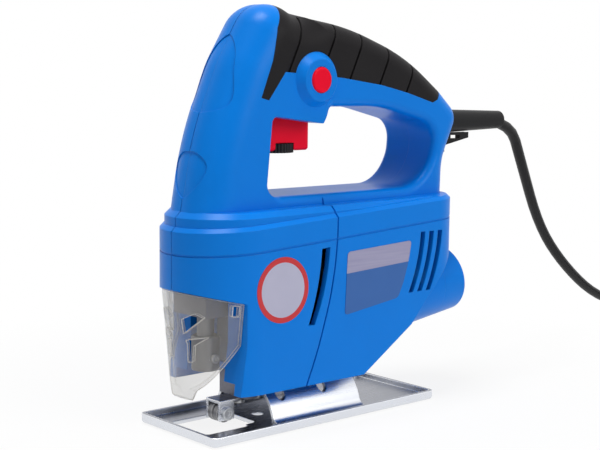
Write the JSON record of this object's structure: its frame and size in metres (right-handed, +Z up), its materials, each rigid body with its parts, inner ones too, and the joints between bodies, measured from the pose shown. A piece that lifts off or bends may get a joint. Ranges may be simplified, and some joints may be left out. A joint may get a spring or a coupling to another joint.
{
  "type": "jigsaw power tool",
  "caption": "Corded hand jigsaw with a closed D handle, finger trigger with speed wheel, clear blade guard, rear dust port and a tilting stamped shoe.",
  "frame": {"origin": "centre of the shoe's underside, which is also on the bevel axis", "axes": "+X to the rear, where the cord leaves, +Y to the tool's right, +Z up from the shoe"},
  "size_m": [0.5233, 0.1127, 0.1942],
  "materials": {
    "blue_plastic": "satin moulded",
    "grip_rubber": "fine matte",
    "clear_plastic": "clear",
    "red_plastic": "satin moulded",
    "black_plastic": "matte moulded",
    "zinc_steel": "bright zinc",
    "dark_steel": "oiled",
    "screw_steel": "zinc",
    "cast_aluminium": "as cast",
    "bronze": "sintered",
    "copper_wire": "enamelled",
    "carbon": "pressed carbon",
    "brass": "plain",
    "yellow_plastic": "moulded",
    "cord_rubber": "smooth matte",
    "plated_pin": "nickel plated"
  },
  "bodies": {
    "housing": {"left_housing": "blue_plastic", "right_housing": "blue_plastic", "grip_cover": "grip_rubber", "housing_screws": "screw_steel", "dust_port": "blue_plastic", "bevel_seat": "cast_aluminium", "seat_screw": "screw_steel", "clamp_plate": "screw_steel", "clamp_screws": "screw_steel", "roller_pin": "screw_steel", "roller_bracket": "zinc_steel", "front_bearing": "screw_steel", "rear_bearing": "screw_steel", "field_core": "dark_steel", "field_coils": "copper_wire", "carbon_brushes": "carbon", "brush_holders": "brass", "fan_baffle": "black_plastic", "gear_case": "cast_aluminium", "gear_axle": "dark_steel", "upper_bush": "bronze", "lower_bush": "bronze", "switch_module": "black_plastic", "capacitor": "yellow_plastic", "cord_sleeve": "cord_rubber", "cord_clamp": "black_plastic", "cord_clamp_screws": "screw_steel", "key_holder": "cord_rubber", "cord_run": "cord_rubber", "cord_coil": "cord_rubber", "cord_tie": "black_plastic", "plug": "cord_rubber", "plug_pins": "plated_pin"},
    "guard": {"blade_guard": "clear_plastic"},
    "shoe": {"shoe": "zinc_steel", "saddle": "zinc_steel"},
    "guide_roller": {"guide_roller": "dark_steel"},
    "armature": {"armature_shaft": "dark_steel", "armature_core": "dark_steel", "armature_windings": "copper_wire", "commutator": "copper_wire", "cooling_fan": "black_plastic", "pinion": "dark_steel"},
    "gear": {"drive_gear": "dark_steel", "crank_pin": "dark_steel", "crank_roller": "dark_steel"},
    "plunger": {"plunger": "dark_steel", "blade_clamp": "dark_steel", "blade_clamp_screw": "screw_steel"},
    "trigger": {"trigger": "red_plastic"},
    "dial": {"speed_dial": "black_plastic"},
    "button": {"lock_button": "red_plastic"}
  },
  "joints": [
    {"name": "bevel_tilt", "type": "hinge", "parent": "housing", "child": "shoe", "pos_m": [0, 0, 0], "axis": [1, 0, 0], "range_deg": [-45, 45]},
    {"name": "guard_slide", "type": "slide", "parent": "housing", "child": "guard", "axis": [-1, 0, 0], "range_m": [0, 0.02]},
    {"name": "trigger_pull", "type": "slide", "parent": "housing", "child": "trigger", "axis": [0, 0, 1], "range_m": [0, 0.006], "stiffness_N_per_m": 400, "springref_m": -0.002},
    {"name": "dial_turn", "type": "hinge", "parent": "trigger", "child": "dial", "pos_m": [-0.0134, 0, 0.129], "axis": [0, 0, 1], "range_deg": [0, 270]},
    {"name": "lock_push", "type": "slide", "parent": "housing", "child": "button", "axis": [0, 1, 0], "range_m": [0, 0.003], "stiffness_N_per_m": 500, "springref_m": -0.002},
    {"name": "armature_spin", "type": "hinge", "parent": "housing", "child": "armature", "pos_m": [0, 0, 0.0645], "axis": [1, 0, 0], "continuous": true},
    {"name": "gear_spin", "type": "hinge", "parent": "housing", "child": "gear", "pos_m": [0, 0, 0.0837], "axis": [1, 0, 0], "continuous": true},
    {"name": "plunger_stroke", "type": "slide", "parent": "housing", "child": "plunger", "axis": [0, 0, 1], "range_m": [-0.009, 0.009]},
    {"name": "roller_spin", "type": "hinge", "parent": "housing", "child": "guide_roller", "pos_m": [-0.0445, 0, 0.0068], "axis": [0, 1, 0], "continuous": true}
  ],
  "couplings": [
    {"joint": "gear_spin", "follows": "armature_spin", "ratio": -0.2}
  ]
}
